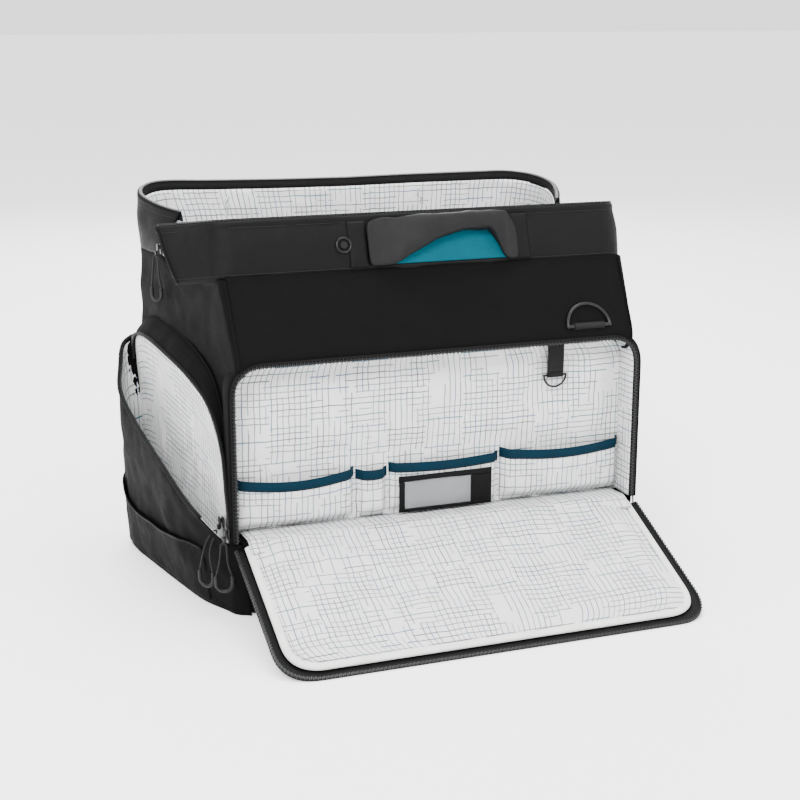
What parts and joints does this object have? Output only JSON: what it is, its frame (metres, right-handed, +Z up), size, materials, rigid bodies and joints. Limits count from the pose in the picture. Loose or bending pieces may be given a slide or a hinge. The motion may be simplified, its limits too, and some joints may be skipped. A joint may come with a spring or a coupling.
{
  "type": "gear bag",
  "caption": "High-top soft gear bag with a doctor-style mouth, a drop-down organizer flap with compartments, and zipped side pockets.",
  "frame": {"origin": "on the ground plane at the middle of the base, under the middle of the mouth", "axes": "+X to the bag's right seen from the front, +Y to the rear, +Z up"},
  "size_m": [0.6227, 0.5458, 0.44],
  "materials": {
    "shell": "woven",
    "band": "coated",
    "lining": "woven",
    "teal": "ribbed",
    "cyan": "woven",
    "webbing": "ribbed",
    "piping": "woven",
    "zip": "satin",
    "metal": "satin",
    "steel": "brushed",
    "board": "matte",
    "cord": "woven",
    "grip": "matte",
    "vinyl": "clear"
  },
  "bodies": {
    "bag": {"base_tray": "shell", "base_board": "board", "front_wall": "shell", "front_shoulder": "shell", "front_apron": "shell", "rear_wall": "shell", "left_wall": "shell", "right_wall": "shell", "main_lining": "lining", "rear_mouth_band": "band", "rear_frame_stay": "steel", "rear_mouth_zip": "zip", "organizer_panel": "lining", "pocket_ring": "shell", "ring_zip": "zip", "left_compartment": "lining", "pen_compartment": "lining", "middle_compartment": "lining", "right_compartment": "lining", "left_hem": "teal", "pen_hem": "teal", "middle_hem": "teal", "right_hem": "teal", "id_window_frame": "webbing", "id_window": "vinyl", "front_ring_loop": "webbing", "rear_ring_loop": "webbing", "left_pocket_panel": "shell", "left_slip_pocket": "shell", "left_pocket_zip": "zip", "right_pocket_panel": "shell", "right_pocket_zip": "zip"},
    "front_mouth": {"front_mouth_band": "band", "front_frame_stay": "steel", "front_mouth_zip": "zip", "front_handle_lining": "cyan", "snap_stud": "metal"},
    "front_handle": {"front_handle": "band"},
    "rear_handle": {"rear_handle": "band"},
    "flap": {"flap_panel": "lining", "flap_piping": "piping", "flap_zip": "zip"},
    "front_ring": {"front_d_ring": "metal"},
    "rear_ring": {"rear_d_ring": "metal"},
    "key_strap": {"key_strap": "webbing"},
    "key_ring": {"key_ring": "metal"},
    "left_door": {"left_pocket_door": "lining"},
    "right_door": {"right_pocket_door": "shell"},
    "mouth_slider": {"mouth_slider": "metal"},
    "mouth_pull": {"mouth_pull_cord": "cord", "mouth_pull_grip": "grip"},
    "flap_slider": {"flap_slider": "metal"},
    "flap_pull": {"flap_pull_cord": "cord", "flap_pull_grip": "grip"},
    "left_pocket_slider": {"left_pocket_slider": "metal"},
    "left_pocket_pull": {"left_pocket_pull_cord": "cord", "left_pocket_pull_grip": "grip"},
    "right_pocket_slider": {"right_pocket_slider": "metal"},
    "right_pocket_pull": {"right_pocket_pull_cord": "cord", "right_pocket_pull_grip": "grip"}
  },
  "joints": [
    {"name": "front_mouth_tip", "type": "hinge", "parent": "bag", "child": "front_mouth", "pos_m": [0, -0.129, 0.369], "axis": [1, 0, 0], "range_deg": [-25, 20]},
    {"name": "front_handle_swing", "type": "hinge", "parent": "front_mouth", "child": "front_handle", "pos_m": [0.02, -0.13626, 0.37716], "axis": [1, 0, 0], "range_deg": [0, 60]},
    {"name": "rear_handle_swing", "type": "hinge", "parent": "bag", "child": "rear_handle", "pos_m": [0, 0.182, 0.373], "axis": [1, 0, 0], "range_deg": [-60, 0]},
    {"name": "flap_hinge", "type": "hinge", "parent": "bag", "child": "flap", "pos_m": [0, -0.175, 0.086], "axis": [1, 0, 0], "range_deg": [-113.61, 0]},
    {"name": "front_ring_swing", "type": "hinge", "parent": "bag", "child": "front_ring", "pos_m": [0.18, -0.17218, 0.29857], "axis": [1, 0, 0], "range_deg": [0, 95]},
    {"name": "rear_ring_swing", "type": "hinge", "parent": "bag", "child": "rear_ring", "pos_m": [-0.18, 0.1722, 0.335], "axis": [1, 0, 0], "range_deg": [0, 95]},
    {"name": "key_strap_swing", "type": "hinge", "parent": "bag", "child": "key_strap", "pos_m": [0.151, -0.146, 0.2785], "axis": [1, 0, 0], "range_deg": [-15, 0]},
    {"name": "key_ring_swing", "type": "hinge", "parent": "key_strap", "child": "key_ring", "pos_m": [0.151, -0.146, 0.2365], "axis": [1, 0, 0], "range_deg": [-25, 0]},
    {"name": "left_door_fold", "type": "hinge", "parent": "bag", "child": "left_door", "pos_m": [-0.27, -0.15, 0.088], "axis": [-0.1191, 0.9929, 0], "range_deg": [0, 13]},
    {"name": "right_door_fold", "type": "hinge", "parent": "bag", "child": "right_door", "pos_m": [0.27, -0.15, 0.088], "axis": [0.1191, 0.9929, 0], "range_deg": [0, 14]},
    {"name": "mouth_slider_run", "type": "slide", "parent": "bag", "child": "mouth_slider", "axis": [0, 0, 1], "range_m": [0, 0.04]},
    {"name": "mouth_pull_swing", "type": "hinge", "parent": "mouth_slider", "child": "mouth_pull", "pos_m": [-0.2737, 0.055, 0.3707], "axis": [0, 1, 0], "range_deg": [0, 40]},
    {"name": "flap_slider_run", "type": "slide", "parent": "bag", "child": "flap_slider", "axis": [0, 0, 1], "range_m": [0, 0.15]},
    {"name": "flap_pull_swing", "type": "hinge", "parent": "flap_slider", "child": "flap_pull", "pos_m": [-0.2578, -0.176, 0.0897], "axis": [0, 1, 0], "range_deg": [0, 40]},
    {"name": "left_pocket_slider_run", "type": "slide", "parent": "bag", "child": "left_pocket_slider", "axis": [0, 0, 1], "range_m": [0, 0.12]},
    {"name": "left_pocket_pull_swing", "type": "hinge", "parent": "left_pocket_slider", "child": "left_pocket_pull", "pos_m": [-0.2578, -0.151, 0.0967], "axis": [0, 1, 0], "range_deg": [0, 40]},
    {"name": "right_pocket_slider_run", "type": "slide", "parent": "bag", "child": "right_pocket_slider", "axis": [0, 0, 1], "range_m": [0, 0.12]},
    {"name": "right_pocket_pull_swing", "type": "hinge", "parent": "right_pocket_slider", "child": "right_pocket_pull", "pos_m": [0.2578, -0.148, 0.0877], "axis": [0, 1, 0], "range_deg": [-40, 0]}
  ]
}
